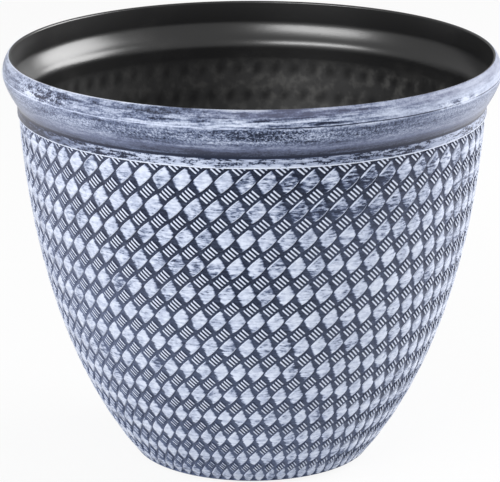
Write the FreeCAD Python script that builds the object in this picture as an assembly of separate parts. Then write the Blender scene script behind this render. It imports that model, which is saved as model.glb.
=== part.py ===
import FreeCAD, Part
import math
import os

# Overall sizes of the pot, in millimetres
RIM_DIAMETER = 381.0         # across the widest ring of the rolled rim
POT_HEIGHT = 318.0           # from the ground to the top of the lip
BASE_DIAMETER = 184.4        # where the outer face of the wall meets the base
WALL_THICKNESS = 3.2
FLOOR_THICKNESS = 3.5

# Bellied wall: its lean from upright at each end, and how far each end runs before it bends
BASE_LEAN = 38.8             # degrees
TOP_LEAN = 3.3               # degrees
BASE_RUN = 110.0
TOP_RUN = 59.0
BASE_ROUND = 3.0             # reach of the rounded corner under the wall
FLOOR_ROUND = 6.0            # reach of the rounded corner inside, at the floor

# Basket weave on the wall: rows of slanted straps that stand over the cords in the gaps between them
WEAVE_COLUMNS = 72           # straps in one row round the pot
WEAVE_ROWS = 13              # rows of straps down the wall
WEAVE_TURN = 3.55            # degrees from the front to the first strap
STRAP_RISE = 1.0             # crest of a strap over the cords
STRAP_CREST = 0.82           # share of a strap's cell, each way, that its flat crest covers

# Rolled rim, measured down from the lip and in from its widest ring
RIM_WIDTH = 6.7              # widest ring to the mouth
LIP_ROUND = 1.5              # radius over the lip
PARTING_DROP = 12.5          # lip to the widest ring, where the mould parts
SKIRT_DROP = 36.5            # lip to the cove under the rim
SKIRT_STEP = 10.7            # widest ring to the plain band, inward
SKIRT_LEAN = 32.0            # degrees from upright, where the skirt leaves the cove
COVE_ROUND = 2.0             # reach of the rounded cove
BAND_HEIGHT = 8.3            # plain band between the cove and the woven wall
BAND_PROUD = 0.8             # step from the band back to the wall

# Inside of the rim, going down: a straight throat, then a shoulder that slopes in to the wall
THROAT_DEPTH = 18.0
SHOULDER_HEIGHT = 15.5
SHOULDER_ROUND = 3.0         # reach of the rounded corners above and below the shoulder

# Feet under the base: arc pads of the same moulding
FOOT_HEIGHT = 2.5
FOOT_WIDTH = 10.0
FOOT_INSET = 8.0             # from the base corner to the outer edge of a foot
FOOT_SPAN = 50.0             # degrees
FOOT_COUNT = 4
FOOT_ROOT = 1.0              # how deep a foot is rooted in the floor
FOOT_MARGIN = 1.0            # flat underside round the feet, inside the corner

# Drain holes in the floor and their push-in plugs
DRAIN_CIRCLE_RADIUS = 45.0
DRAIN_HOLE_RADIUS = 7.0
SEAT_DEPTH = 1.0             # recess in the floor that takes the plug's head
SEAT_CLEARANCE = 0.5         # round the head
STEM_CLEARANCE = 0.2         # round the stem, in the hole
STEM_TAPER = 0.6             # how much the stem narrows toward its tip
STEM_PROUD = 1.2             # stem showing under the floor
HEAD_RADIUS = 11.0
HEAD_THICKNESS = 2.5
HEAD_SLOPE = 0.8             # how much the head thins toward its edge
GRIP_RADIUS = 4.0
GRIP_HEIGHT = 8.0
GRIP_ROUND = 1.5

# Heights and radii that follow from those sizes
BASE_Z = FOOT_HEIGHT
FLOOR_Z = BASE_Z + FLOOR_THICKNESS
SEAT_Z = FLOOR_Z - SEAT_DEPTH
PARTING_Z = POT_HEIGHT - PARTING_DROP
COVE_Z = POT_HEIGHT - SKIRT_DROP
BAND_Z = COVE_Z - BAND_HEIGHT
BASE_RADIUS = BASE_DIAMETER / 2
RIM_RADIUS = RIM_DIAMETER / 2
MOUTH_RADIUS = RIM_RADIUS - RIM_WIDTH
BAND_RADIUS = RIM_RADIUS - SKIRT_STEP
WALL_TOP_RADIUS = BAND_RADIUS - BAND_PROUD
FLAT_RADIUS = BASE_RADIUS - FOOT_INSET + FOOT_MARGIN

# Corners of a cell of the weave about its middle, in columns and rows
CELL = ((-0.5, 0), (0.25, -0.5), (0.5, 0), (-0.25, 0.5))
CORNER_STEPS = 2             # facets round the base corner
LEVEL = 1e-6                 # how near its height a level edge lies

PLUG_ANGLES = {"front": -90.0, "right": 0.0, "back": 90.0, "left": 180.0}

CENTRE = FreeCAD.Vector(0, 0, 0)
UP = FreeCAD.Vector(0, 0, 1)
INWARD = FreeCAD.Vector(-1, 0, 0)


def at(radius, height):
    """A point of the profile, in the plane through the axis."""
    return FreeCAD.Vector(radius, 0, height)


def up_at(lean):
    """Unit vector up a wall that leans outward by this many degrees."""
    return at(math.sin(math.radians(lean)), math.cos(math.radians(lean)))


def inward_at(lean):
    """Unit vector from the outer face of that wall toward its inner face."""
    return at(-math.cos(math.radians(lean)), math.sin(math.radians(lean)))


def curve(*poles):
    """A smooth curve that starts and ends along its outer poles."""
    bezier = Part.BezierCurve()
    bezier.setPoles(list(poles))
    return bezier


def path(*points):
    """Straight edges through the points in turn."""
    return [Part.makeLine(a, b) for a, b in zip(points, points[1:])]


def revolved(edges):
    """The solid that a closed profile sweeps round the axis."""
    return Part.Face(Part.Wire(edges)).revolve(CENTRE, UP, 360)


def wall_curve(foot, top):
    """The belly between two ends that lean alike on the outer and the inner face."""
    return curve(foot, foot + up_at(BASE_LEAN) * BASE_RUN, top - up_at(TOP_LEAN) * TOP_RUN, top)


def outer_wall():
    """The belly that the crests of the straps follow."""
    return wall_curve(at(BASE_RADIUS, BASE_Z), at(WALL_TOP_RADIUS, BAND_Z))


def under_crest(lean):
    """From the crests to the cords, measured level on a wall that leans this many degrees."""
    return STRAP_RISE / math.cos(math.radians(lean))


def wall_point(row, rise):
    """The point of the profile at a row of the weave, this far over the cords."""
    if row == 0:
        return at(WALL_TOP_RADIUS - under_crest(TOP_LEAN), BAND_Z)
    wall = outer_wall()
    down = min(row / WEAVE_ROWS * wall.length(), wall.length() - BASE_ROUND)
    place = wall.parameterAtDistance(wall.length() - down, 0.0)
    up = wall.tangent(place)[0]
    return wall.value(place) + at(up.z, -up.x) * (rise - STRAP_RISE)


def turned(point, column):
    """A point of the profile, turned round the axis to a column of the weave."""
    turn = math.radians(WEAVE_TURN + column * 360 / WEAVE_COLUMNS)
    return FreeCAD.Vector(point.x * math.sin(turn), -point.x * math.cos(turn), point.z)


def cell(column, row, rise=0.0, share=1.0):
    """The corners of a cell, or of a share of it, this far over the cords."""
    return [turned(wall_point(row + share * down, rise), column + share * across) for across, down in CELL]


def sheet(a, b, c, d):
    """The face between the edge from a to b and the edge from d to c."""
    return Part.makeRuledSurface(Part.makeLine(a, b), Part.makeLine(d, c))


def triangle(a, b, c):
    return Part.Face(Part.makePolygon([a, b, c, a]))


def strap(column, row):
    """A strap: its flat crest and the four flanks down to the cords."""
    foot = cell(column, row)
    crest = cell(column, row, STRAP_RISE, STRAP_CREST)
    flanks = [sheet(foot[side - 1], foot[side], crest[side], crest[side - 1]) for side in range(4)]
    return [sheet(*crest)] + flanks


def base_corner(column):
    """Facets under a column, from the foot of the wall round the base corner to the underside."""
    corner = at(BASE_RADIUS - under_crest(BASE_LEAN), BASE_Z)
    rounded = curve(wall_point(WEAVE_ROWS, 0.0), corner, corner + INWARD * BASE_ROUND)
    rings = [rounded.value(step / CORNER_STEPS) for step in range(CORNER_STEPS + 1)]
    facets = []
    for upper, lower in zip(rings, rings[1:]):
        facets.append(sheet(turned(upper, column), turned(upper, column + 1),
                            turned(lower, column + 1), turned(lower, column)))
    return facets


def woven_wall():
    """The faces of the weave: one column of straps and cords, copied round the pot."""
    top_left, _, top_right, top_foot = cell(-0.25, 0)
    last = WEAVE_ROWS / 2 - 0.25
    foot_left, foot_top, foot_right, _ = cell(last, WEAVE_ROWS)
    faces = [triangle(top_left, top_foot, top_right), triangle(foot_left, foot_top, foot_right)]
    faces += base_corner(last - 0.5)
    for row in range(WEAVE_ROWS):
        faces += strap(row / 2, row + 0.5)
    for row in range(1, WEAVE_ROWS):
        faces.append(sheet(*cell(row / 2 - 0.25, row)))
    column = Part.Compound(faces)
    columns = []
    for index in range(WEAVE_COLUMNS):
        copy = column.copy()
        copy.rotate(CENTRE, UP, index * 360 / WEAVE_COLUMNS)
        columns += copy.Faces
    return columns


def level_ring(faces, height):
    """The closed ring of edges that some faces have at a height."""
    edges = [edge for face in faces for edge in face.Edges
             if all(abs(vertex.Z - height) < LEVEL for vertex in edge.Vertexes)]
    return Part.Wire(Part.sortEdges(edges)[0])


def circle(radius, height):
    return Part.Wire(Part.makeCircle(radius, UP * height))


def flat_ring(outer, inner):
    """The level face between two rings."""
    return Part.makeFace([outer, inner], "Part::FaceMakerCheese")


def band_and_skirt():
    """From the lower edge of the plain band, over the band and the cove, to the widest ring."""
    cove = at(BAND_RADIUS, COVE_Z)
    cove_start = cove - UP * COVE_ROUND
    skirt_start = cove + up_at(SKIRT_LEAN) * COVE_ROUND
    skirt_run = (RIM_RADIUS - skirt_start.x) / math.tan(math.radians(SKIRT_LEAN))
    skirt_bend = at(RIM_RADIUS, skirt_start.z + skirt_run)
    band = path(at(BAND_RADIUS, BAND_Z), cove_start)
    rounded = curve(cove_start, cove, skirt_start).toShape()
    skirt = curve(skirt_start, skirt_bend, at(RIM_RADIUS, PARTING_Z)).toShape()
    return band + [rounded, skirt]


def rolled_rim():
    """From the widest ring over the lip, as two arcs that meet without a corner."""
    across = RIM_WIDTH - LIP_ROUND
    rise = PARTING_DROP - LIP_ROUND
    roll = (across ** 2 + rise ** 2 - LIP_ROUND ** 2) / (2 * (across - LIP_ROUND))
    roll_centre = at(RIM_RADIUS - roll, PARTING_Z)
    lip_centre = at(MOUTH_RADIUS + LIP_ROUND, POT_HEIGHT - LIP_ROUND)
    meeting = math.atan2(rise, roll - across)

    def on(centre, radius, angle):
        return centre + at(math.cos(angle), math.sin(angle)) * radius

    joint = on(lip_centre, LIP_ROUND, meeting)
    outer = Part.Arc(at(RIM_RADIUS, PARTING_Z), on(roll_centre, roll, meeting / 2), joint)
    lip_middle = on(lip_centre, LIP_ROUND, (meeting + math.pi) / 2)
    lip = Part.Arc(joint, lip_middle, at(MOUTH_RADIUS, POT_HEIGHT - LIP_ROUND))
    return [outer.toShape(), lip.toShape()]


def inside():
    """From the lip down the throat, the shoulder and the inner wall to the middle of the floor."""
    wall_top = at(WALL_TOP_RADIUS, BAND_Z) + inward_at(TOP_LEAN) * WALL_THICKNESS
    wall_foot = at(BASE_RADIUS, BASE_Z) + inward_at(BASE_LEAN) * WALL_THICKNESS
    throat = at(MOUTH_RADIUS, POT_HEIGHT - THROAT_DEPTH)
    ledge = at(wall_top.x, throat.z - SHOULDER_HEIGHT)
    slope = (throat - ledge).normalize() * SHOULDER_ROUND
    throat_end = throat + UP * SHOULDER_ROUND
    ledge_end = ledge - UP * SHOULDER_ROUND
    shoulder = path(at(MOUTH_RADIUS, POT_HEIGHT - LIP_ROUND), throat_end)
    shoulder.append(curve(throat_end, throat, throat - slope).toShape())
    shoulder += path(throat - slope, ledge + slope)
    shoulder.append(curve(ledge + slope, ledge, ledge_end).toShape())
    shoulder += path(ledge_end, wall_top)
    wall = wall_curve(wall_foot, wall_top)
    floor_line = Part.Line(at(0, FLOOR_Z), at(BASE_RADIUS, FLOOR_Z))
    meeting = wall.intersect(floor_line)[0]
    corner = at(meeting.X, FLOOR_Z)
    wall_end = wall.parameterAtDistance(FLOOR_ROUND, wall.parameter(corner))
    floor_start = corner + INWARD * FLOOR_ROUND
    rounded = curve(wall.value(wall_end), corner, floor_start).toShape()
    wall.segment(wall_end, 1.0)
    return shoulder + [wall.toShape(), rounded] + path(floor_start, at(0, FLOOR_Z), at(0, BASE_Z))


def foot():
    """One arc pad under the base, rooted in the floor."""
    outer = BASE_RADIUS - FOOT_INSET
    inner = outer - FOOT_WIDTH
    top = BASE_Z + FOOT_ROOT
    section = path(at(inner, 0), at(outer, 0), at(outer, top), at(inner, top), at(inner, 0))
    return Part.Face(Part.Wire(section)).revolve(CENTRE, UP, FOOT_SPAN)


def drain_place(angle):
    """The point on the ground under a drain hole."""
    turn = math.radians(angle)
    return FreeCAD.Vector(math.cos(turn), math.sin(turn), 0) * DRAIN_CIRCLE_RADIUS


def drain_cut(angle):
    """The hole through the floor and the seat for a plug's head."""
    place = drain_place(angle)
    hole = Part.makeCylinder(DRAIN_HOLE_RADIUS, FLOOR_Z, place)
    seat = Part.makeCylinder(HEAD_RADIUS + SEAT_CLEARANCE, SEAT_DEPTH, place + UP * SEAT_Z)
    return hole.fuse(seat)


def plain_body():
    """Underside, feet, drain holes, inside and rim, with a plain block in place of the woven wall."""
    block = path(at(0, BASE_Z), at(FLAT_RADIUS, BASE_Z), at(RIM_RADIUS, BASE_Z), at(RIM_RADIUS, BAND_Z),
                 at(BAND_RADIUS, BAND_Z))
    body = revolved(block + band_and_skirt() + rolled_rim() + inside())
    feet = []
    for index in range(FOOT_COUNT):
        pad = foot()
        pad.rotate(CENTRE, UP, (index + 0.5) * 360 / FOOT_COUNT - FOOT_SPAN / 2)
        feet.append(pad)
    drains = [drain_cut(angle) for angle in PLUG_ANGLES.values()]
    return body.fuse(feet).cut(drains)


def on_block(face):
    """Whether a face of the plain body is one that the woven wall replaces."""
    return face.BoundBox.XMax > BAND_RADIUS + LEVEL and face.BoundBox.ZMax < BAND_Z + LEVEL


def pot_shell():
    """The whole moulding: floor, woven wall, plain band and rolled rim."""
    weave = woven_wall()
    faces = [face for face in plain_body().Faces if not on_block(face)]
    faces.append(flat_ring(circle(BAND_RADIUS, BAND_Z), level_ring(weave, BAND_Z)))
    faces.append(flat_ring(level_ring(weave, BASE_Z), circle(FLAT_RADIUS, BASE_Z)))
    skin = Part.makeShell(weave + faces)
    skin.sewShape()
    return Part.makeSolid(skin)


def drain_plug(angle):
    """A soft plug: tapered stem, head on its seat and a grip to pull it up by."""
    stem = DRAIN_HOLE_RADIUS - STEM_CLEARANCE
    tip_z = BASE_Z - STEM_PROUD
    edge_z = SEAT_Z + HEAD_THICKNESS - HEAD_SLOPE
    head_z = SEAT_Z + HEAD_THICKNESS
    grip_z = head_z + GRIP_HEIGHT
    outline = path(at(0, tip_z), at(stem - STEM_TAPER, tip_z), at(stem, SEAT_Z),
                   at(HEAD_RADIUS, SEAT_Z), at(HEAD_RADIUS, edge_z), at(GRIP_RADIUS, head_z),
                   at(GRIP_RADIUS, grip_z - GRIP_ROUND))
    rounded = curve(at(GRIP_RADIUS, grip_z - GRIP_ROUND), at(GRIP_RADIUS, grip_z),
                    at(GRIP_RADIUS - GRIP_ROUND, grip_z)).toShape()
    top = path(at(GRIP_RADIUS - GRIP_ROUND, grip_z), at(0, grip_z), at(0, tip_z))
    plug = revolved(outline + [rounded] + top)
    plug.translate(drain_place(angle))
    return plug


def main():
    os.makedirs("parts", exist_ok=True)
    pieces = {"pot_shell": pot_shell()}
    for side, angle in PLUG_ANGLES.items():
        pieces["drain_plug_" + side] = drain_plug(angle)
    for node, shape in pieces.items():
        shape.exportStep("parts/" + node + ".step")
        print(node, "volume", round(shape.Volume), "valid", shape.isValid(), "solids", len(shape.Solids))


main()
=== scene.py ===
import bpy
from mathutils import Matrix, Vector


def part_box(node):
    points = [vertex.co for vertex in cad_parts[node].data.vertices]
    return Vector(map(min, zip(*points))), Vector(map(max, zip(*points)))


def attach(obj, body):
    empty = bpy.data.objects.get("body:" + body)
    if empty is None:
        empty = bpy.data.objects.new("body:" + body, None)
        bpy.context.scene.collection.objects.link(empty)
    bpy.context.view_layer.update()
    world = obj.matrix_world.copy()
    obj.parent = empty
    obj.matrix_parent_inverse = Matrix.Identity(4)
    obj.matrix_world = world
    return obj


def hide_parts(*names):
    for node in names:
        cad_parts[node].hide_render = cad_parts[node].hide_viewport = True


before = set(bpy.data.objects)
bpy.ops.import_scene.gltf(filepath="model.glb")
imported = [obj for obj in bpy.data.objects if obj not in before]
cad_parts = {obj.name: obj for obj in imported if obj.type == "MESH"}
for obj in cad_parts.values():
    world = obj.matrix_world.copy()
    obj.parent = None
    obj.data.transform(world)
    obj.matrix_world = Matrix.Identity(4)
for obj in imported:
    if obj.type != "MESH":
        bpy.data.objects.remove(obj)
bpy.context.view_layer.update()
POT_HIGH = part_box("pot_shell")[1]

import math
from functools import partialmethod

import bpy
import numpy as np
from bpy.props import FloatProperty, FloatVectorProperty, IntProperty, PointerProperty
from mathutils import Vector

bl_info = {
    "name": "Woven Flower Pot",
    "version": (1, 0, 0),
    "blender": (4, 5, 0),
    "location": "View3D > Sidebar > Flower Pot",
    "description": "Dresses the plastic flower pot: moulding, woven wall, brushed paint and drain plugs",
    "category": "Object",
}

MM = 0.001
PLUGS = ("front", "right", "back", "left")

WALL_POINTS = 600
SAME_PLACE = 1e-7
ON_GROUND = 1e-6

# Depths under the ground of the weave: hidden faces of skin and moulding, which overlap, and roots
SKIN_DEPTH = 0.9 * MM
MOULDING_DEPTH = 0.6 * MM
STRAP_ROOT = 0.3 * MM
CORD_ROOT = 0.25 * MM


def length(name, millimetres, description):
    return FloatProperty(name=name, description=description, default=millimetres * MM,
                         unit="LENGTH", precision=5)


def turn(name, degrees, description):
    return FloatProperty(name=name, description=description, default=math.radians(degrees), unit="ROTATION")


def place(name, metres, description):
    return FloatVectorProperty(name=name, description=description, default=metres,
                               size=3, subtype="XYZ", unit="LENGTH", precision=4)


def power(name, watts, description):
    return FloatProperty(name=name, description=description, default=watts, unit="POWER")


def tone(name, red, green, blue, description):
    """A colour given as it looks on a screen, 0 to 255, and kept as linear light."""
    linear = [((c / 255 + 0.055) / 1.055) ** 2.4 for c in (red, green, blue)]
    return FloatVectorProperty(name=name, description=description, default=linear,
                               size=3, subtype="COLOR", min=0, max=1)


class PotForm(bpy.types.PropertyGroup):
    """Sizes of the moulding."""
    rim_radius: length("Rim radius", POT_HIGH.x / MM, "Out to the widest ring of the rolled rim")
    height: length("Height", POT_HIGH.z / MM, "Ground to the top of the lip")
    base_radius: length("Base radius", 92.2, "Where the outer face of the wall meets the base")
    wall: length("Wall thickness", 3.2, "Outer to inner face, over the weave's crests")
    floor: length("Floor thickness", 3.5, "Underside to the inside of the floor")
    base_lean: turn("Base lean", 38.8, "Lean of the wall from upright at the base")
    top_lean: turn("Top lean", 3.3, "Lean of the wall from upright at the plain band")
    base_run: length("Base run", 110, "How far the wall keeps its lean at the base")
    top_run: length("Top run", 59, "How far the wall keeps its lean at the top")
    base_round: length("Base corner", 1.5, "Reach of the rounded corner under the wall")
    floor_round: length("Floor corner", 6, "Reach of the rounded corner inside")
    rim_width: length("Rim width", 6.7, "Widest ring in to the mouth")
    lip_round: length("Lip round", 1.5, "Radius over the lip")
    parting_drop: length("Parting drop", 12.5, "Lip down to the mould's parting line")
    parting_depth: length("Parting depth", 0.35, "Depth of the crack along the parting line")
    skirt_drop: length("Skirt drop", 36.5, "Lip down to the cove under the rim")
    skirt_step: length("Skirt step", 10.7, "Widest ring in to the plain band")
    skirt_lean: turn("Skirt lean", 32, "Lean of the skirt from upright at the cove")
    cove_round: length("Cove round", 2, "Reach of the rounded cove")
    band_height: length("Band height", 8.3, "Plain band under the rim")
    band_proud: length("Band step", 0.8, "Step from the band back to the weave's crests")
    band_edge: length("Band edge", 0.4, "Round on the lower edge of the band")
    throat_depth: length("Throat depth", 18, "Straight throat inside the lip")
    shoulder_height: length("Shoulder height", 15.5, "Sloped shoulder under the throat")
    shoulder_scoop: length("Shoulder scoop", 1.5, "How far the shoulder is drawn out of straight")
    throat_round: length("Throat round", 2, "Reach of the rounded corner over the shoulder")
    ledge_round: length("Ledge round", 4.5, "Reach of the rounded corner under the shoulder")
    paint_end: turn("Paint end", 80, "How far the paint runs up over the lip, from level outward")
    foot_height: length("Foot height", 2.5, "Ground to the underside of the base")
    foot_width: length("Foot width", 10, "Width of an arc foot")
    foot_inset: length("Foot inset", 8, "Base corner in to a foot")
    foot_span: turn("Foot span", 50, "Angle that an arc foot covers")
    foot_edge: length("Foot edge", 0.6, "Bevel round the tread of a foot")
    drain_circle: length("Drain circle", 45, "Axis of the pot to the middle of a drain hole")
    drain_radius: length("Drain radius", 7, "Radius of a drain hole")
    seat_radius: length("Seat radius", 11.5, "Radius of the recess round a drain hole")
    seat_depth: length("Seat depth", 1, "Depth of that recess")


class WeaveForm(bpy.types.PropertyGroup):
    """Sizes of the basket weave, on the wall unrolled flat at its top."""
    columns: IntProperty(name="Columns", description="Straps in one row round the pot", default=72, min=12)
    rows: IntProperty(name="Rows", description="Rows of straps down the wall", default=13, min=4)
    start: turn("Start", 3.48, "Angle of the first strap from the front")
    tilt: length("Tilt", 1.5, "How much lower the rows hang on the right than at the front")
    stretch: FloatProperty(name="Stretch", description="Growth of the row spacing, per metre down the wall",
                           default=0.063)
    depth: length("Depth", 1.6, "Crest of the weave down to the ground between")
    strap_turn: turn("Strap turn", 42.8, "Slant of a strap from level")
    strap_length: length("Strap length", 16.4, "Length of a strap with the ends that dip under")
    strap_width: length("Strap width", 10, "Width of a strap")
    strap_skew: length("Strap skew", 1.1, "How far one long edge of a strap leads the other")
    strap_crown: length("Strap crown", 0.3, "Rise of a strap's middle over its edges")
    strap_dip: length("Strap dip", 1.25, "How far the ends of a strap dip under")
    strap_edge: length("Strap edge", 0.45, "Bevel along the long edges of a strap")
    cord_turn: turn("Cord turn", -41.5, "Slant of a cord from level")
    cord_length: length("Cord length", 8.1, "Length of a cord")
    cord_width: length("Cord width", 2.3, "Width of a cord at its root")
    cord_height: length("Cord height", 1.45, "Height of a cord over the ground")
    cord_count: IntProperty(name="Cords", description="Cords in one bundle", default=4, min=1)
    cord_step: FloatVectorProperty(name="Cord step", description="From one cord of a bundle to the next",
                                   default=(-2.14 * MM, -2.0 * MM), size=2, unit="LENGTH", precision=5)
    dimple: length("Dimple", 0.25, "Depth of the dimples behind the straps, on the inner face")


class PaintTones(bpy.types.PropertyGroup):
    """Colours of the paint, the bare resin and the plugs."""
    pale: tone("Pale paint", 184, 194, 217, "Brushed paint on the crests of the weave")
    bright: tone("Bright paint", 221, 229, 246, "Thickest paint, along edges and on the cords")
    slate: tone("Slate ground", 22, 31, 52, "Dark coat under the brushed paint")
    wash: tone("Blue wash", 101, 113, 142, "Thinned paint on the skirt of the rim")
    # Painted sheen: the pale lilac that the paint turns to toward both sides
    lilac_sheen: tone("Lilac veil", 186, 182, 203, "Warm pale veil toward the sides")
    violet: tone("Violet wash", 116, 119, 145, "Thinned paint over the lip and low on the skirt")
    resin: tone("Black resin", 26, 26, 27, "Bare resin of the inside and the underside")
    # Dust colour; it is also the colour of the painted highlight on the resin's web
    dust: tone("Dust", 96, 95, 93, "Dry dust on the bare resin")
    rubber: tone("Plug rubber", 33, 33, 34, "Soft rubber of the drain plugs")


class StudioSetup(bpy.types.PropertyGroup):
    """Camera and light."""
    camera_place: place("Camera place", (-0.0016, -2.1897, 0.8189), "Where the camera stands")
    camera_pitch: turn("Camera pitch", 16.59, "How far the camera looks down")
    camera_lens: FloatProperty(name="Lens", description="Focal length on a sensor 36 mm wide", default=211.26)
    ambient: FloatProperty(name="Ambient", description="Light from all round", default=0.42, min=0)
    key: power("Key lamp", 37.5, "Soft lamp high on the left of the camera")
    key_place: place("Key place", (-1.22, -1.68, 1.5), "Where the key lamp hangs")
    left: power("Left panel", 8.6, "Large panel on the left")
    left_place: place("Left place", (-1.7, 0.2, 0.05), "Where the left panel stands")
    right: power("Right panel", 35.5, "Large panel on the right")
    right_place: place("Right place", (1.62, 0.6, 0.98), "Where the right panel hangs")


# Outlines of the pot, as points (radius, height)

def up_at(lean):
    """Unit vector up a wall that leans outward."""
    return np.array((math.sin(lean), math.cos(lean)))


def out_of(lean):
    """Unit vector out of the outer face of that wall."""
    return np.array((math.cos(lean), -math.sin(lean)))


def bezier(count, *poles):
    """Evenly stepped points along a curve that starts and ends along its outer poles."""
    t = np.linspace(0, 1, count)[:, None]
    points = [np.array(pole, float) + 0 * t for pole in poles]
    while len(points) > 1:
        points = [a + (b - a) * t for a, b in zip(points, points[1:])]
    return points[0]


def arc(count, centre, radius, start, end):
    """Points along a circular arc."""
    angles = np.linspace(start, end, count)
    return np.array(centre) + radius * np.stack((np.cos(angles), np.sin(angles)), axis=1)


class Outline:
    """Heights, radii and curves that follow from the pot's sizes."""

    def __init__(self, form, weave):
        self.form = form
        self.weave = weave
        self.base_z = form.foot_height
        self.floor_z = self.base_z + form.floor
        self.parting_z = form.height - form.parting_drop
        self.cove_z = form.height - form.skirt_drop
        self.band_z = self.cove_z - form.band_height
        self.mouth = form.rim_radius - form.rim_width
        self.band_radius = form.rim_radius - form.skirt_step
        self.wall_top = self.band_radius - form.band_proud

    def wall(self, count, depth):
        """The bellied wall, from the base up, this deep under its outer face."""
        form = self.form
        foot = np.array((form.base_radius, self.base_z)) - out_of(form.base_lean) * depth
        top = np.array((self.wall_top, self.band_z)) - out_of(form.top_lean) * depth
        return bezier(count, foot, foot + up_at(form.base_lean) * form.base_run,
                      top - up_at(form.top_lean) * form.top_run, top)

    def wall_above(self, count, depth, height):
        """That wall, without what lies under a height."""
        points = self.wall(WALL_POINTS, depth)
        points = points[points[:, 1] > height]
        return points[np.linspace(0, len(points) - 1, count).astype(int)]

    def band_and_skirt(self):
        """The plain band, the cove and the skirt up to the parting line."""
        form = self.form
        edge = np.array((self.band_radius, self.band_z))
        cove = np.array((self.band_radius, self.cove_z))
        skirt_start = cove + up_at(form.skirt_lean) * form.cove_round
        run = (form.rim_radius - skirt_start[0]) / math.tan(form.skirt_lean)
        return np.concatenate((
            bezier(4, edge - (form.band_edge, 0), edge, edge + (0, form.band_edge)),
            bezier(6, cove - (0, form.cove_round), cove, skirt_start),
            bezier(14, skirt_start, (form.rim_radius, skirt_start[1] + run),
                   (form.rim_radius, self.parting_z - form.parting_depth))[1:],
            [(form.rim_radius - form.parting_depth, self.parting_z)],
        ))

    def rolled_rim(self):
        """The roll over the rim, up to where the paint ends on the lip."""
        form = self.form
        across = form.rim_width - form.lip_round
        rise = form.parting_drop - form.lip_round
        roll = (across ** 2 + rise ** 2 - form.lip_round ** 2) / (2 * (across - form.lip_round))
        meeting = math.atan2(rise, roll - across)
        centre = (form.rim_radius - roll, self.parting_z)
        return np.concatenate((
            arc(14, centre, roll, form.parting_depth / roll, meeting),
            self.lip(5, meeting, form.paint_end)[1:],
        ))

    def lip(self, count, start, end):
        """A stretch of the round over the lip."""
        form = self.form
        centre = (self.mouth + form.lip_round, form.height - form.lip_round)
        return arc(count, centre, form.lip_round, start, end)

    def hidden_side(self, depth):
        """The line inside the wall where painted skin and black moulding meet, from the base up."""
        form = self.form
        wall = self.wall_above(14, depth, self.base_z)
        throat, ledge = self.shoulder()
        behind_rim = 1.5 * MM
        clear = (form.wall - depth + behind_rim, 0)
        return np.concatenate((wall, [ledge + clear, throat + clear]))

    def shoulder(self):
        """The corners over and under the sloped shoulder, before they are rounded."""
        form = self.form
        throat = np.array((self.mouth, form.height - form.throat_depth))
        inner_top = self.wall_top - math.cos(form.top_lean) * form.wall
        return throat, np.array((inner_top, throat[1] - form.shoulder_height))

    def painted_skin(self):
        """Closed outline of the painted outside."""
        form = self.form
        ground = self.wall_above(44, self.weave.depth, self.base_z + form.base_round * 0.7)
        hidden = self.hidden_side(self.weave.depth + SKIN_DEPTH)[::-1]
        foot = np.array((form.base_radius, self.base_z))
        base_ring = foot + np.array(((-0.4, 0), (0, 0.3), (0.1, 0.6))) * MM
        inner_edge = (hidden[-1][0] - 0.3 * MM, self.base_z)
        return np.concatenate((
            [inner_edge], base_ring, ground, self.band_and_skirt(), self.rolled_rim(), hidden))

    def black_moulding(self):
        """Outline of the black inside, the floor and the underside, from axis to axis."""
        form = self.form
        hidden = self.hidden_side(self.weave.depth + MOULDING_DEPTH)
        throat, ledge = self.shoulder()
        scoop = (throat + ledge) / 2 + (form.shoulder_scoop, 0)
        upper = (scoop - throat) / np.linalg.norm(scoop - throat) * form.throat_round
        lower = (ledge - scoop) / np.linalg.norm(ledge - scoop) * form.ledge_round
        inner = self.wall_above(self.weave.rows * 6, form.wall, self.floor_z)[::-1]
        corner = np.array((inner[-1][0], self.floor_z))
        above_floor = inner[inner[:, 1] > self.floor_z + form.floor_round * 0.8]
        underside = hidden[0][0] - form.base_round * 0.4
        return np.concatenate((
            [(0, self.base_z), (underside, self.base_z)],
            hidden,
            self.lip(8, form.paint_end, math.pi),
            bezier(6, throat + (0, form.throat_round), throat, throat + upper),
            bezier(10, throat + upper, scoop, ledge - lower)[1:-1],
            bezier(9, ledge - lower, ledge, ledge - (0, form.ledge_round)),
            above_floor,
            bezier(7, above_floor[-1], corner, corner - (form.floor_round, 0))[1:],
            [(0, self.floor_z)],
        ))


# Modelling helpers

def deselect():
    """Object mode, with nothing selected."""
    if bpy.context.object and bpy.context.object.mode != "OBJECT":
        bpy.ops.object.mode_set(mode="OBJECT")
    bpy.ops.object.select_all(action="DESELECT")


def activate(piece):
    """Only this object selected, and active."""
    deselect()
    piece.select_set(True)
    bpy.context.view_layer.objects.active = piece


def freeze(piece):
    """Works an object's place, turn and size into its mesh."""
    activate(piece)
    bpy.ops.object.transform_apply(location=True, rotation=True, scale=True)


def add(name, shape, **settings):
    """A new primitive mesh under its own name."""
    deselect()
    shape(**settings)
    piece = bpy.context.object
    piece.name = name
    piece.data.name = name
    return piece


def edit(piece):
    """Edit mode, with the whole mesh selected."""
    activate(piece)
    bpy.ops.object.mode_set(mode="EDIT")
    bpy.ops.mesh.select_all(action="SELECT")


def pick(piece, kind, test):
    """In edit mode, selects the vertices or the edges whose place, or places, pass a test."""
    bpy.ops.mesh.select_mode(type=kind)
    bpy.ops.mesh.select_all(action="DESELECT")
    bpy.ops.object.mode_set(mode="OBJECT")
    mesh = piece.data
    for part in mesh.vertices if kind == "VERT" else mesh.edges:
        ends = [part.index] if kind == "VERT" else part.vertices
        part.select = test(*(mesh.vertices[end].co for end in ends))
    bpy.ops.object.mode_set(mode="EDIT")


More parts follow.
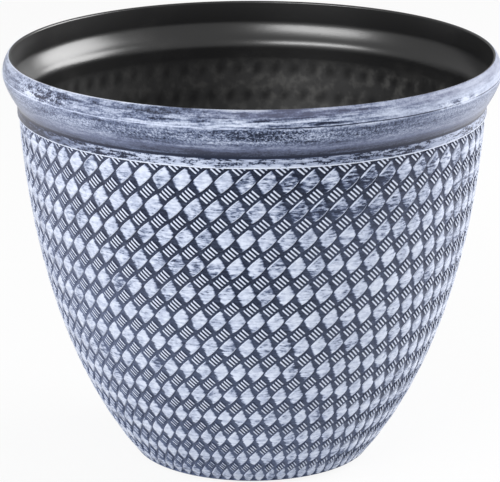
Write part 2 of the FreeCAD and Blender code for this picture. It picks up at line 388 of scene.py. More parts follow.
def turned(name, outline, steps, closed=False):
    """A solid turned round the pot's axis from an outline, drawn point by point and spun."""
    piece = add(name, bpy.ops.mesh.primitive_plane_add, size=1)
    edit(piece)
    bpy.ops.mesh.select_mode(type="VERT")
    bpy.ops.mesh.merge(type="CENTER")
    points = [Vector((radius, 0, height)) for radius, height in outline]
    bpy.ops.transform.translate(value=points[0])
    for here, there in zip(points, points[1:]):
        bpy.ops.mesh.extrude_region_move(TRANSFORM_OT_translate={"value": there - here})
    if closed:
        ends = (points[0], points[-1])
        pick(piece, "VERT", lambda place: min((place - end).length for end in ends) < SAME_PLACE)
        bpy.ops.mesh.edge_face_add()
    bpy.ops.mesh.select_all(action="SELECT")
    bpy.ops.mesh.spin(steps=steps, angle=math.tau, center=(0, 0, 0), axis=(0, 0, 1), use_auto_merge=True)
    bpy.ops.mesh.select_all(action="SELECT")
    bpy.ops.mesh.remove_doubles(threshold=1e-6)
    bpy.ops.mesh.normals_make_consistent(inside=False)
    bpy.ops.object.mode_set(mode="OBJECT")
    return piece


def apply_modifier(piece, kind, **settings):
    """Adds a modifier with its settings and applies it."""
    activate(piece)
    bpy.ops.object.modifier_add(type=kind)
    modifier = piece.modifiers[-1]
    for setting, value in settings.items():
        setattr(modifier, setting, value)
    bpy.ops.object.modifier_apply(modifier=modifier.name)


def repeat(piece, count, offset, **settings):
    """Copies a piece in a line, all in its own mesh."""
    apply_modifier(piece, "ARRAY", count=count, use_relative_offset=False, use_constant_offset=True,
                   constant_offset_displace=offset, **settings)


def cut(piece, tool, operation):
    """Joins a tool to a piece or cuts it away, and removes the tool."""
    apply_modifier(piece, "BOOLEAN", operation=operation, solver="EXACT", object=tool)
    bpy.data.objects.remove(tool, do_unlink=True)


def round_the_axis(piece, count, first):
    """Copies a piece round the pot's axis and joins the copies."""
    places = [piece]
    for _ in range(1, count):
        copy = piece.copy()
        copy.data = piece.data.copy()
        bpy.context.collection.objects.link(copy)
        places.append(copy)
    deselect()
    for index, copy in enumerate(places):
        copy.rotation_euler.z = first + index * math.tau / count
        copy.select_set(True)
    bpy.context.view_layer.objects.active = piece
    bpy.ops.object.transform_apply(location=True, rotation=True, scale=True)
    bpy.ops.object.join()
    return piece


def smooth(piece, angle):
    """Smooth shading, with the edges sharper than an angle kept crisp."""
    activate(piece)
    bpy.ops.object.shade_smooth_by_angle(angle=math.radians(angle))


def coordinates(piece):
    """The places of a mesh's vertices as an array."""
    places = np.empty(len(piece.data.vertices) * 3)
    piece.data.vertices.foreach_get("co", places)
    return places.reshape(-1, 3)


def place_vertices(piece, places):
    """Moves a mesh's vertices to the places in an array."""
    piece.data.vertices.foreach_set("co", places.ravel())
    piece.data.update()


def map_flat(piece, name):
    """A UV map straight down on a flat piece: across its width and along its length, 0 to 1."""
    places = coordinates(piece)[:, :2]
    low, high = places.min(0), places.max(0)
    flat = (places - low) / (high - low)
    corners = np.empty(len(piece.data.loops), int)
    piece.data.loops.foreach_get("vertex_index", corners)
    for layer in list(piece.data.uv_layers):
        piece.data.uv_layers.remove(layer)
    piece.data.uv_layers.new(name=name).data.foreach_set("uv", flat[corners].ravel())


def travel_along(points):
    """How far each point of a line lies along it."""
    return np.concatenate(([0], np.cumsum(np.hypot(*np.diff(points, axis=0).T))))


def weave_steps(outline):
    """From column to column round the top of the wall, and from row to row down it."""
    pitch = math.tau * outline.wall_top / outline.weave.columns
    row = travel_along(outline.wall(WALL_POINTS, 0))[-1] / outline.weave.rows
    return pitch, row


def roll_round_wall(piece, outline):
    """Rolls flat weave round the bellied wall: x goes round it, y up from its top edge, z out of it."""
    form, weave = outline.form, outline.weave
    overrun = 20 * MM
    off_ground = 0.2 * MM
    wall = outline.wall(WALL_POINTS, 0)[::-1]
    above = wall[0] + up_at(form.top_lean) * overrun
    below = wall[-1] - up_at(form.base_lean) * overrun
    wall = np.concatenate(([above], wall, [below]))
    travel = travel_along(wall) - overrun
    lean = np.gradient(wall, axis=0)
    lean /= np.hypot(*lean.T)[:, None]
    x, y, lift = coordinates(piece).T
    angle = x / outline.wall_top + weave.start
    down = -y + weave.stretch * y ** 2 + weave.tilt * np.sin(angle)
    radius = np.interp(down, travel, wall[:, 0]) - lift * np.interp(down, travel, lean[:, 1])
    height = np.interp(down, travel, wall[:, 1]) + lift * np.interp(down, travel, lean[:, 0])
    place_vertices(piece, np.stack((radius * np.sin(angle), -radius * np.cos(angle), height), axis=1))
    trim(piece, outline.band_z + form.band_height / 2, clear_outer=True)
    trim(piece, outline.base_z + off_ground, clear_inner=True)


def weave_round(piece, outline):
    """Repeats a flat piece of the weave in columns and rows, and rolls them round the wall."""
    pitch, row = weave_steps(outline)
    repeat(piece, outline.weave.columns, (pitch, 0, 0))
    repeat(piece, outline.weave.rows, (pitch / 2, -row, 0))
    roll_round_wall(piece, outline)


def trim(piece, height, **cleared):
    """Cuts a piece off level at a height and closes the cut."""
    edit(piece)
    bpy.ops.mesh.bisect(plane_co=(0, 0, height), plane_no=(0, 0, 1), use_fill=True, **cleared)
    bpy.ops.object.mode_set(mode="OBJECT")


def finish_piece(piece, material, slot, *nodes):
    """Gives a piece its finish, its body and its place in the part."""
    piece.data.materials.clear()
    piece.data.materials.append(material)
    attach(piece, "pot")
    if nodes:
        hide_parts(*nodes)


# Materials

class Value:
    """A number on a material's node tree that takes part in Python arithmetic."""

    def __init__(self, finish, socket):
        self.finish = finish
        self.socket = socket

    def math(self, operation, *others):
        inputs = dict(enumerate((self, *others)))
        return self.finish.value("ShaderNodeMath", inputs, operation=operation)

    __add__ = __radd__ = partialmethod(math, "ADD")
    __sub__ = partialmethod(math, "SUBTRACT")
    __mul__ = partialmethod(math, "MULTIPLY")
    __truediv__ = partialmethod(math, "DIVIDE")
    __abs__ = partialmethod(math, "ABSOLUTE")
    most = partialmethod(math, "MAXIMUM")

    def __rsub__(self, other):
        return self.finish.value("ShaderNodeMath", {0: other, 1: self}, operation="SUBTRACT")

    def rise(self, low, high):
        """0 under low and 1 over high, with an eased rise between; it falls where low is over high."""
        inputs = {"Value": self, "From Min": low, "From Max": high}
        return self.finish.value("ShaderNodeMapRange", inputs, interpolation_type="SMOOTHSTEP", clamp=True)

    def near(self, middle, reach):
        """1 at a middle value, easing to 0 at a reach on either side."""
        return abs(self - middle).rise(reach, 0)


class Finish:
    """A material while its nodes are being laid out."""

    def __init__(self, name):
        self.material = bpy.data.materials.new(name)
        self.material.use_nodes = True
        self.tree = self.material.node_tree
        self.tree.nodes.clear()
        self.shader = self.node("ShaderNodeBsdfPrincipled", {})
        self.node("ShaderNodeOutputMaterial", {"Surface": self.shader.outputs[0]})
        self.place = self.node("ShaderNodeTexCoord", {}).outputs["Object"]
        axes = self.node("ShaderNodeSeparateXYZ", {0: self.place})
        self.x, self.y, self.z = (Value(self, socket) for socket in axes.outputs)

    def node(self, kind, inputs, stops=(), **settings):
        """Adds a node: its settings and a ramp's stops are set first, then its sockets are set or linked."""
        node = self.tree.nodes.new(kind)
        for setting, value in settings.items():
            setattr(node, setting, value)
        for index, (place, colour) in enumerate(stops):
            ends = node.color_ramp.elements
            stop = ends[index] if index < 2 else ends.new(place)
            stop.position = place
            stop.color = (*colour, 1)
        for socket, value in inputs.items():
            self.feed(node.inputs[socket], value)
        return node

    def feed(self, socket, value):
        """Links a socket to a value, or sets it."""
        if isinstance(value, Value):
            value = value.socket
        if isinstance(value, bpy.types.NodeSocket):
            self.tree.links.new(value, socket)
        elif socket.type == "RGBA" and len(value) == 3:
            socket.default_value = (*value, 1)
        else:
            socket.default_value = value

    def value(self, kind, inputs, output=0, **settings):
        """An output of a new node, as a value."""
        return Value(self, self.node(kind, inputs, **settings).outputs[output])

    def noise(self, stretch, detail=2, roughness=0.5, shift=0):
        """Cloudy noise with so many features to a metre along each axis."""
        shifted = self.node("ShaderNodeVectorMath", {0: self.place, 1: (shift,) * 3}, operation="ADD")
        scaled = self.node("ShaderNodeVectorMath", {0: shifted.outputs[0], 1: stretch}, operation="MULTIPLY")
        return self.value("ShaderNodeTexNoise", {"Vector": scaled.outputs[0], "Scale": 1, "Detail": detail,
                                                 "Roughness": roughness})

    def mix(self, share_of_second, first, second):
        """A colour between two colours."""
        node = self.node("ShaderNodeMix", {"Factor": share_of_second}, data_type="RGBA")
        self.feed(node.inputs[6], first)
        self.feed(node.inputs[7], second)
        return node.outputs[2]

    def ramp(self, amount, *stops):
        """A colour by amount, eased from stop to stop."""
        return self.node("ShaderNodeValToRGB", {0: amount}, stops=stops).outputs[0]

    def map(self, name):
        """Across and along a piece's own UV map, each from -1 to 1."""
        uv = self.node("ShaderNodeUVMap", {}, uv_map=name)
        axes = self.node("ShaderNodeSeparateXYZ", {0: uv.outputs[0]})
        return tuple(Value(self, axes.outputs[index]) * 2 - 1 for index in (0, 1))

    def bump(self, height, depth):
        """A fine relief this deep, in metres, on the surface."""
        bump = self.node("ShaderNodeBump", {"Height": height, "Distance": depth, "Strength": 1})
        self.feed(self.shader.inputs["Normal"], bump.outputs[0])

    def set(self, **inputs):
        """Sets or links the shader's sockets; an underscore in a name stands for a space."""
        for socket, value in inputs.items():
            self.feed(self.shader.inputs[socket.replace("_", " ")], value)


# A soft sheen that pales the paint where it turns away
VEIL = {"Sheen_Weight": 0.42, "Sheen_Roughness": 0.35}


def between(share_of_second, first, second):
    """A number between two numbers."""
    return first + (second - first) * share_of_second


def bristles(finish):
    """Level streaks that a stiff brush leaves, fine and coarse, about 0."""
    fine = finish.noise((120, 120, 620), detail=3, roughness=0.65) - 0.5
    coarse = finish.noise((24, 24, 330), detail=2, shift=3) - 0.5
    return fine, coarse


def thin_paint_and_side_sheen(finish):
    """Paint between the crests: a thin coat, least at the top of the front and lighter low down, most on the
    lower left; the paler sides are a painted sheen, the surround's reflection where the wall turns away.
    """
    x = finish.x
    smudge = finish.noise((7, 7, 10), detail=1, shift=21) - 0.5
    low_left = x.rise(-0.02, -0.12) * finish.z.rise(0.24, 0.12)
    # The x * x term pales both sides: a painted sheen that stands in for reflection at grazing angles
    return 0.255 - finish.z * 0.65 + x * x * 3.7 + low_left * 0.06 + smudge * 0.18


def brushed(finish, tones, amount):
    """Colour of the paint by how much of it the brush left: 0 is bare slate, 1 is thick; toward both sides it
    pales to lilac, a painted sheen.
    """
    colour = finish.ramp(amount, (0.08, tones.slate), (0.34, tones.wash), (0.66, tones.pale),
                         (1.0, tones.bright))
    return finish.mix(finish.x * finish.x * 3, colour, tones.lilac_sheen)


def strap_paint(tones):
    """Dry-brushed paint over a strap: full on the crest, thicker along the edges, ragged at the ends."""
    finish = Finish("strap_paint")
    along, across = finish.map("strap")
    x, z = finish.x, finish.z
    fine, coarse = bristles(finish)
    patch = finish.noise((55, 55, 40), detail=1, shift=7) - 0.5
    flecks = finish.noise((210, 210, 700), detail=3, roughness=0.65, shift=11) - 0.5
    blotch = finish.noise((230, 230, 330), detail=2, shift=13) - 0.5
    ragged = fine * 0.9 + coarse * 0.5
    reach = 0.69 + z * 0.38
    fray = z.rise(0.2, 0.06) * x.rise(0.06, -0.06) * 0.6 + 0.35
    lower = (along + reach - patch * 0.4 + (ragged + blotch) * fray).rise(-0.2, 0.14)
    upper = (reach + 0.04 - along + ragged * 0.3 + blotch * 0.3).rise(-0.18, 0.12)
    edge = abs(across).rise(0.8, 0.92) * lower * upper
    rubbed = x.near(0.065, 0.13) * z.near(0.252, 0.06)
    rubbed = rubbed.most(x.near(-0.05, 0.06) * z.near(0.2, 0.05) * 0.7)
    worn = (flecks - patch * 0.6 + rubbed * 0.12).rise(0.02, 0.25)
    cover = 0.82 + ragged * (1.1 + rubbed) + blotch * 0.9 + patch * 0.4 - worn * 0.4 - rubbed * 0.25
    amount = lower * upper * cover
    amount = amount.most(edge * (0.85 + fine * 0.8)).most(thin_paint_and_side_sheen(finish) + fine * 0.2)
    finish.set(Base_Color=brushed(finish, tones, amount), Roughness=0.6 - amount * 0.12,
               Specular_IOR_Level=0.15, **VEIL)
    finish.bump(fine + amount * 0.5, 0.14 * MM)
    return finish.material


def cord_paint(tones):
    """Paint on a cord's crest: worn at its ends and sides, and thin on every other cord at the left."""
    finish = Finish("cord_paint")
    along, lanes = finish.map("cord")
    x, y, z = finish.x, finish.y, finish.z
    lane = lanes / 2 + 0.5
    across = lane.math("FRACT") * 2 - 1
    low = z.rise(0.12, 0.03)
    outer = abs(lane - 2) * low
    every_other = (lane / 2).math("FRACT").rise(0.49, 0.51)
    missed = every_other * abs(y).rise(0.135, 0.11) * x.rise(0, -0.04)
    fine, coarse = bristles(finish)
    patch = finish.noise((60, 60, 60), detail=1, shift=5) - 0.5
    crest = (abs(across) + fine * 0.25).rise(0.78, 0.32)
    reach = (abs(along) + coarse * 0.3 + low * 0.12).rise(1.0, 0.72)
    amount = crest * reach * (1.05 + patch * 0.5 + fine * 0.5 - outer * 0.15 - missed * 0.45)
    amount = amount.most((thin_paint_and_side_sheen(finish) + fine * 0.2) * abs(across).rise(1.3, 0.5))
    finish.set(Base_Color=brushed(finish, tones, amount), Roughness=0.58 - amount * 0.1,
               Specular_IOR_Level=0.15, **VEIL)
    finish.bump(fine, 0.08 * MM)
    return finish.material


def skin_paint(tones, outline):
    """The painted skin: slate between the weave, brushed streaks and speckle over the band and the rim."""
    finish = Finish("skin_paint")
    form = outline.form
    fine, coarse = bristles(finish)
    drift = finish.noise((9, 9, 34), detail=2, shift=2) - 0.5
    streak = finish.noise((13, 13, 230), detail=3, roughness=0.6, shift=5) - 0.5
    speckle = finish.noise((620, 620, 760), detail=3, roughness=0.7, shift=9) - 0.5
    cloud = finish.noise((60, 60, 110), detail=3, roughness=0.6, shift=4) - 0.5
    x, z = finish.x, finish.z
    edge_z, cove_z, parting_z = outline.band_z, outline.cove_z, outline.parting_z
    right, left = x.rise(0.03, 0.16), x.rise(-0.06, -0.17)
    calm = 1 - right * 0.55 - left * 0.3
    brush = (drift * 1.1 + streak * 1.3 + coarse * 0.7 + fine * 0.9 + cloud * 0.5) * calm

    def spot(middle, reach, height, tall):
        """A soft patch of the rim, by its place across the pot and its height."""
        return x.near(middle * MM, reach * MM) * z.near(height, tall * MM)

    ground = thin_paint_and_side_sheen(finish) + fine * 0.25 + speckle * 0.15

    flecked = (coarse * 0.7 + fine * 1.3 + speckle * 1.1 + cloud * 0.5).rise(0.02, -0.24)
    band = 0.6 + drift * 0.5 + streak * 0.7 + fine * 1.1 - flecked * (0.62 - left * 0.4)
    band = band - left * 0.5 - x.near(0.085, 0.06) * 0.2
    band = band + z.rise(edge_z + 1.1 * MM, edge_z + 0.5 * MM)

    worn = spot(10, 62, parting_z - 5 * MM, 12)
    grainy = z.near(parting_z - 7 * MM, 11 * MM) * calm * 1.3 + 0.4
    # The left and right terms are painted light: the skirt paler toward its sides
    skirt = 0.35 + brush * 0.65 + speckle * grainy + left * 0.06 + right * 0.05 - worn * (0.25 - speckle)
    # Darker toward the cove and darkest in its groove: partly thinner paint, partly painted shade under the
    # rim
    skirt = skirt - z.rise(cove_z + 9 * MM, cove_z + 3 * MM) * (0.21 + brush * 0.3)
    skirt = skirt - z.near(cove_z, 1.8 * MM) * 0.3

    crack = z.near(parting_z, 0.7 * MM)
    upper = z.rise(parting_z + 4 * MM, parting_z + 9 * MM)
    chipped = spot(150, 24, parting_z + 0.8 * MM, 4.5) + spot(-160, 20, parting_z + 4 * MM, 5)
    chips = cloud + streak * 0.5 + speckle * 0.4
    scuffs = spot(-152, 30, parting_z + 6 * MM, 11)
    rubbed = x.near(0.025, 0.09) * (0.13 - streak * 1.6 - coarse * 1.2)
    thick = spot(-36, 44, parting_z + 2 * MM, 7)
    # The right term is painted light: the roll paler toward the right
    roll = 0.51 + brush * 1.25 + speckle * 0.9 * calm + thick * 0.25 + right * 0.14 - rubbed
    roll = roll - upper * (0.05 + x.near(0.03, 0.075) * 0.42) - scuffs * (0.3 - speckle * 2 - fine - cloud)
    # Along the parting crack: a painted highlight on its left side and painted shade in it on the right
    roll = roll + crack * (x.rise(-0.03, -0.06) * 0.4 - x.rise(0.005, 0.03) * 0.6)
    roll = roll + chipped * (chips.rise(-0.02, 0.12) * 0.6 - chips.rise(-0.02, -0.1) * right * 0.45)
    # A painted highlight along the top of the lip on the left
    roll = roll + z.near(form.height, 0.9 * MM) * x.rise(-0.05, -0.09) * 0.5

    amount = between(z.rise(edge_z - 0.4 * MM, edge_z), ground, band)
    amount = between(z.rise(cove_z - 1.8 * MM, cove_z - 0.4 * MM), amount, skirt)
    amount = between(z.rise(parting_z - 2.4 * MM, parting_z), amount, roll)
    colour = brushed(finish, tones, amount)
    sheer = (z.near(cove_z + 7 * MM, 8 * MM) * 0.25).most(upper * x.near(0.03, 0.11) * 0.55)
    colour = finish.mix(sheer.most(right * upper * 0.4), colour, tones.violet)
    finish.set(Base_Color=colour, Roughness=0.52 - fine * 0.2, Specular_IOR_Level=0.2, **VEIL)
    finish.bump(fine + speckle * 0.6, 0.12 * MM)
    return finish.material


def black_resin(tones):
    """Bare moulded resin: near black, satin, with a faint grain and dust, and the web between the dimples
    painted paler, most toward the right: a painted highlight, with painted shade left in the dimples.
    """
    finish = Finish("black_resin")
    grain = finish.noise((1100, 1100, 1100), detail=3, roughness=0.6)
    cloud = finish.noise((18, 18, 30), detail=3, shift=6)
    dust = (cloud * 0.7 + grain * 0.3).rise(0.5, 0.8)
    web = finish.value("ShaderNodeAttribute", {}, output="Fac", attribute_name="web")
    web_highlight = finish.noise((130, 130, 130), detail=2, shift=8).rise(0.42, 0.7)
    web_highlight = web_highlight * (0.16 + finish.x.rise(-0.07, 0.05) * 0.3)
    # The dust tone is mixed in both as real dust and as the painted highlight on the web
    finish.set(Base_Color=finish.mix(dust * 0.22 + web * web_highlight, tones.resin, tones.dust),
               Roughness=0.29 + dust * 0.06 + web * 0.16, Specular_IOR_Level=1.0)
    finish.bump(grain, 0.02 * MM)
    return finish.material


def plug_rubber(tones):
    """Soft black rubber with a dull bloom."""
    finish = Finish("plug_rubber")
    grain = finish.noise((1500, 1500, 1500), detail=2)
    bloom = finish.noise((140, 140, 140), detail=3, shift=8)
    finish.set(Base_Color=finish.mix(bloom.rise(0.45, 0.75) * 0.3, tones.rubber, tones.dust),
               Roughness=0.68 + grain * 0.15)
    finish.bump(grain, 0.06 * MM)
    return finish.material


# Operators

def settings(context):
    """The pot's outline and its colours, from the scene's properties."""
    scene = context.scene
    return Outline(scene.pot_form, scene.pot_weave), scene.pot_tones


class POT_OT_moulding(bpy.types.Operator):
    """Turn the black moulding with its feet, drain holes and dimpled inner wall"""
    bl_idname = "flower_pot.moulding"
    bl_label = "Black Moulding"

    def execute(self, context):
        outline, tones = settings(context)
        piece = turned("black_moulding", outline.black_moulding(), outline.weave.columns * 8)
        cut(piece, self.feet(outline), "UNION")
        cut(piece, self.drains(outline), "DIFFERENCE")
        self.press_dimples(piece, outline)
        smooth(piece, 35)
        finish_piece(piece, black_resin(tones), "black_resin", "pot_shell")
        return {"FINISHED"}

    def press_dimples(self, piece, outline):
        """Presses a dimple in behind each strap, and keeps the web round it for the finish."""
        form, weave = outline.form, outline.weave
        on_face = 0.05 * MM
        fade_top, fade_floor = 8 * MM, 20 * MM
        dimple_width, dimple_height = 0.48, 0.4
        wall = outline.wall(WALL_POINTS, form.wall)[::-1]
        travel = travel_along(wall)
        places = coordinates(piece)
        radius = np.hypot(places[:, 0], places[:, 1])
        face = np.interp(places[:, 2], wall[::-1, 1], wall[::-1, 0])
        inner = (abs(radius - face) < on_face) & (places[:, 2] < outline.band_z)
        row = np.interp(-places[:, 2], -wall[:, 1], travel) / travel[-1] * weave.rows - 0.5
        angle = np.arctan2(places[:, 0], -places[:, 1]) - weave.start
        nearest = np.round(row)
        column = angle * weave.columns / math.tau - nearest / 2 - (row - nearest) / 3
        column -= np.round(column)
        away = np.clip(np.hypot(column / dimple_width, (row - nearest) / dimple_height), 0, 1)
        web = away ** 2 * (3 - 2 * away)
        fade = inner * np.clip((outline.band_z - places[:, 2]) / fade_top, 0, 1)
        fade = fade * np.clip((places[:, 2] - outline.floor_z - form.floor_round) / fade_floor, 0, 1)
        grow = 1 + fade * (1 - web) * weave.dimple / np.maximum(radius, MM)
        place_vertices(piece, places * np.stack((grow, grow, np.ones_like(grow)), axis=1))
        piece.data.attributes.new("web", "FLOAT", "POINT").data.foreach_set("value", fade * web)

    def feet(self, outline):
        """The arc feet under the base."""
        form = outline.form
        outer = form.base_radius - form.foot_inset
        foot = add("foot", bpy.ops.mesh.primitive_plane_add, size=1)
        foot.scale = (form.foot_width, form.foot_height + MM, 1)
        foot.rotation_euler.x = math.pi / 2
        foot.location = (outer - form.foot_width / 2, 0, (form.foot_height + MM) / 2)
        freeze(foot)
        edit(foot)
        bpy.ops.mesh.spin(steps=20, angle=form.foot_span, center=(0, 0, 0), axis=(0, 0, 1))
        bpy.ops.mesh.select_all(action="SELECT")
        bpy.ops.mesh.normals_make_consistent(inside=False)
        pick(foot, "EDGE", lambda a, b: max(a.z, b.z) < ON_GROUND and self.on_rim(a, b, form))
        bpy.ops.mesh.bevel(offset=form.foot_edge, segments=2, affect="EDGES")
        bpy.ops.object.mode_set(mode="OBJECT")
        return round_the_axis(foot, 4, math.pi / 4 - form.foot_span / 2)

    def on_rim(self, a, b, form):
        """Whether an edge runs round the tread of a foot, and not across it."""
        slack = 1e-4
        radii = [math.hypot(place.x, place.y) for place in (a, b)]
        lengthwise = abs(radii[0] - radii[1]) < form.foot_width / 2
        angles = [math.atan2(abs(place.y), place.x) for place in (a, b)]
        at_end = max(angles) < slack or min(angles) > form.foot_span - slack
        return lengthwise or at_end

    def drains(self, outline):
        """The stepped cutters for the drain holes and their seats."""
        form = outline.form
        seat_z = outline.floor_z - form.seat_depth
        clear = 2 * MM
        low, high = outline.base_z - clear, outline.floor_z + clear
        steps = [(0, low), (form.drain_radius, low), (form.drain_radius, seat_z),
                 (form.seat_radius, seat_z), (form.seat_radius, high), (0, high)]
        cutter = turned("drain_cutter", steps, 64)
        cutter.location.x = form.drain_circle
        freeze(cutter)
        return round_the_axis(cutter, len(PLUGS), 0)


class POT_OT_skin(bpy.types.Operator):
    """Turn the painted outside: the ground of the weave, the plain band and the rolled rim"""
    bl_idname = "flower_pot.skin"
    bl_label = "Painted Skin"

    def execute(self, context):
        outline, tones = settings(context)
        piece = turned("painted_skin", outline.painted_skin(), outline.weave.columns * 4, closed=True)
        smooth(piece, 35)
        finish_piece(piece, skin_paint(tones, outline), "brushed_paint", "pot_shell")
        return {"FINISHED"}


class POT_OT_straps(bpy.types.Operator):
    """Shape one slanted strap of the weave and repeat it round the wall"""
    bl_idname = "flower_pot.straps"
    bl_label = "Woven Straps"

    def execute(self, context):
        outline, tones = settings(context)
        row = weave_steps(outline)[1]
        strap = self.strap(outline.weave)
        strap.location.y = -row / 2
        freeze(strap)
        weave_round(strap, outline)
        smooth(strap, 40)
        finish_piece(strap, strap_paint(tones), "brushed_paint", "pot_shell")
        return {"FINISHED"}

    def strap(self, weave):
        """One strap: crowned, bevelled along its edges, with ends that dip under."""
        thick = weave.depth + STRAP_ROOT
        dip_start = 0.3
        strap = add("woven_straps", bpy.ops.mesh.primitive_cube_add, size=1)
        strap.scale = (weave.strap_length, weave.strap_width, thick)
        strap.location.z = -thick / 2
        freeze(strap)
        edit(strap)
        pick(strap, "EDGE", lambda a, b: abs(a.x - b.x) > weave.strap_length / 2)
        bpy.ops.mesh.subdivide(number_cuts=5)
        pick(strap, "EDGE", lambda a, b: a.z > -thick / 2 and (a - b).yz.length < SAME_PLACE)
        bpy.ops.mesh.bevel(offset=weave.strap_edge, segments=1, affect="EDGES")
        bpy.ops.object.mode_set(mode="OBJECT")
        map_flat(strap, "strap")
        places = coordinates(strap)
        along = places[:, 0] / (weave.strap_length / 2)
        across = places[:, 1] / (weave.strap_width / 2)
        top = places[:, 2] > -thick / 2
        toward_end = np.clip((abs(along) - dip_start) / (1 - dip_start), 0, 1)
        places[:, 2] -= top * weave.strap_dip * toward_end ** 1.6
        places[:, 2] -= top * weave.strap_crown * across ** 2
        places[:, 1] *= 1.04 - 0.14 * along ** 2
        places[:, 0] += weave.strap_skew * across
        place_vertices(strap, places)
        strap.rotation_euler.z = weave.strap_turn
        return strap


class POT_OT_cords(bpy.types.Operator):
    """Shape one bundle of cords of the weave and repeat it round the wall"""
    bl_idname = "flower_pot.cords"
    bl_label = "Woven Cords"

    def execute(self, context):
        outline, tones = settings(context)
        weave = outline.weave
        pitch = weave_steps(outline)[0]
        cord = self.cord(weave)
        step = Vector((*weave.cord_step, 0))
        cord.location = Vector((-pitch / 4, 0, 0)) - step * (weave.cord_count - 1) / 2
        freeze(cord)
        repeat(cord, weave.cord_count, step, offset_v=1)
        weave_round(cord, outline)
        smooth(cord, 60)
        finish_piece(cord, cord_paint(tones), "brushed_paint", "pot_shell")
        return {"FINISHED"}

    def cord(self, weave):
        """One half-round cord with pinched ends, its root a little under the ground."""
        cord = add("woven_cords", bpy.ops.mesh.primitive_cylinder_add, vertices=8, radius=0.5, depth=1)
        spread, pinch = 2.0, 0.55
        cord.rotation_euler = (0, math.pi / 2, 0)
        freeze(cord)
        edit(cord)
        pick(cord, "EDGE", lambda a, b: abs(a.x - b.x) > 0.5)
        bpy.ops.mesh.subdivide(number_cuts=2)
        pick(cord, "VERT", lambda place: abs(place.x) < 0.4)
        bpy.ops.transform.resize(value=(spread, 1, 1))
        pick(cord, "VERT", lambda place: abs(place.x) > 0.45)
        bpy.ops.transform.resize(value=(1, pinch, pinch))
        bpy.ops.mesh.select_all(action="SELECT")
        bpy.ops.mesh.bisect(plane_co=(0, 0, 0.01), plane_no=(0, 0, 1), use_fill=True, clear_inner=True)
        bpy.ops.object.mode_set(mode="OBJECT")
        map_flat(cord, "cord")
        cord.scale = (weave.cord_length, weave.cord_width, 2 * (weave.cord_height + CORD_ROOT))
        cord.location.z = -weave.depth - CORD_ROOT
        freeze(cord)
        cord.rotation_euler.z = weave.cord_turn
        return cord


class POT_OT_plugs(bpy.types.Operator):
    """Give the drain plugs their rubber finish"""
    bl_idname = "flower_pot.plugs"
    bl_label = "Drain Plugs"

    def execute(self, context):
        rubber = plug_rubber(context.scene.pot_tones)
        for side in PLUGS:
            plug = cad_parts["drain_plug_" + side]
            plug.data.materials.clear()
            plug.data.materials.append(rubber)
        return {"FINISHED"}


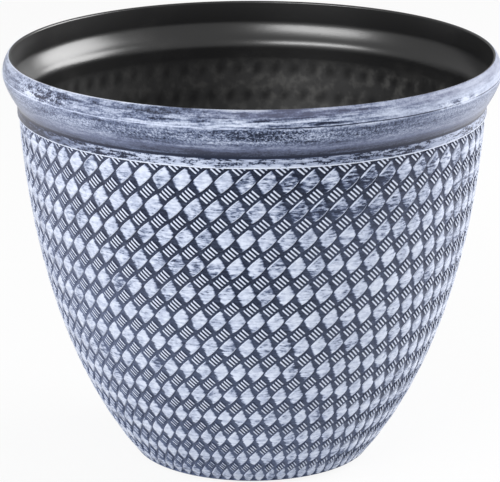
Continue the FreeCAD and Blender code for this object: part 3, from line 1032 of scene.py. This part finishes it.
class POT_OT_studio(bpy.types.Operator):
    """Set up the pale floor, the soft lamps, the white surround and the camera"""
    bl_idname = "flower_pot.studio"
    bl_label = "Studio"

    def execute(self, context):
        studio = context.scene.pot_studio
        context.scene.view_settings.view_transform = "Standard"
        self.floor()
        self.surround(context.scene, studio)
        self.lamp("key_lamp", studio.key, studio.key_place, size=(2.0, 0.6))
        self.lamp("left_panel", studio.left, studio.left_place, size=(1.4, 0.5))
        self.lamp("right_panel", studio.right, studio.right_place, size=(1.5, 1.0))
        self.camera(context.scene, studio)
        return {"FINISHED"}

    def floor(self):
        """A wide pale floor that shows white and keeps the pot's shadow."""
        floor = add("studio_floor", bpy.ops.mesh.primitive_plane_add, size=12)
        edit(floor)
        bpy.ops.mesh.subdivide(number_cuts=3)
        bpy.ops.object.mode_set(mode="OBJECT")
        finish = Finish("studio_floor")
        seen = finish.node("ShaderNodeLightPath", {}).outputs["Is Camera Ray"]
        cloud = finish.noise((3, 3, 3))
        finish.set(Base_Color=finish.mix(cloud * 0.1, (0.82, 0.82, 0.82), (0.78, 0.78, 0.78)), Roughness=0.8)
        white = finish.node("ShaderNodeEmission", {"Color": (1, 1, 1), "Strength": 1.0})
        mixed = finish.node("ShaderNodeMixShader", {0: Value(finish, seen) * 0.9, 1: finish.shader.outputs[0],
                                                    2: white.outputs[0]})
        surface = finish.tree.nodes["Material Output"].inputs["Surface"]
        finish.feed(surface, mixed.outputs[0])
        floor.data.materials.append(finish.material)

    def surround(self, scene, studio):
        """White to the eye, plain soft light elsewhere."""
        world = bpy.data.worlds.new("studio_surround")
        world.use_nodes = True
        tree = world.node_tree
        back = tree.nodes["Background"]
        back.inputs["Color"].default_value = (1, 1, 1, 1)
        rays = tree.nodes.new("ShaderNodeLightPath")
        seen = rays.outputs["Is Camera Ray"]
        level = tree.nodes.new("ShaderNodeMapRange")
        level.inputs["To Min"].default_value = studio.ambient
        level.inputs["To Max"].default_value = 1.0
        tree.links.new(seen, level.inputs["Value"])
        tree.links.new(level.outputs[0], back.inputs["Strength"])
        scene.world = world

    def lamp(self, name, watts, where, size):
        """A soft lamp, so wide and high, turned to the middle of the pot."""
        light = bpy.data.lights.new(name, "AREA")
        light.shape = "RECTANGLE"
        light.size, light.size_y = size
        light.energy = watts
        lamp = bpy.data.objects.new(name, light)
        lamp.location = where
        aim = Vector((0, 0, POT_HIGH.z / 2)) - lamp.location
        lamp.rotation_euler = aim.to_track_quat("-Z", "Y").to_euler()
        bpy.context.collection.objects.link(lamp)

    def camera(self, scene, studio):
        """A long lens in front, looking a little down."""
        lens = bpy.data.cameras.new("studio_camera")
        lens.sensor_fit = "HORIZONTAL"
        lens.sensor_width = 36
        lens.lens = studio.camera_lens
        lens.clip_end = 100
        camera = bpy.data.objects.new("studio_camera", lens)
        camera.location = studio.camera_place
        camera.rotation_euler = (math.pi / 2 - studio.camera_pitch, 0, 0)
        bpy.context.collection.objects.link(camera)
        scene.camera = camera


class POT_PT_sidebar(bpy.types.Panel):
    """The pot's pieces, in the order they are built"""
    bl_idname = "POT_PT_sidebar"
    bl_label = "Flower Pot"
    bl_space_type = "VIEW_3D"
    bl_region_type = "UI"
    bl_category = "Flower Pot"

    def draw(self, context):
        for operator in OPERATORS:
            self.layout.operator(operator.bl_idname)


GROUPS = {"pot_form": PotForm, "pot_weave": WeaveForm, "pot_tones": PaintTones, "pot_studio": StudioSetup}
OPERATORS = (POT_OT_moulding, POT_OT_skin, POT_OT_straps, POT_OT_cords, POT_OT_plugs, POT_OT_studio)


def register():
    for kind in (*GROUPS.values(), *OPERATORS, POT_PT_sidebar):
        bpy.utils.register_class(kind)
    for name, group in GROUPS.items():
        setattr(bpy.types.Scene, name, PointerProperty(type=group))


def unregister():
    for name in GROUPS:
        delattr(bpy.types.Scene, name)
    for kind in (POT_PT_sidebar, *reversed(OPERATORS), *GROUPS.values()):
        bpy.utils.unregister_class(kind)


def main():
    register()
    bpy.ops.flower_pot.moulding()
    bpy.ops.flower_pot.skin()
    bpy.ops.flower_pot.straps()
    bpy.ops.flower_pot.cords()
    bpy.ops.flower_pot.plugs()
    bpy.ops.flower_pot.studio()
    bpy.context.view_layer.update()


if __name__ == "__main__":
    main()
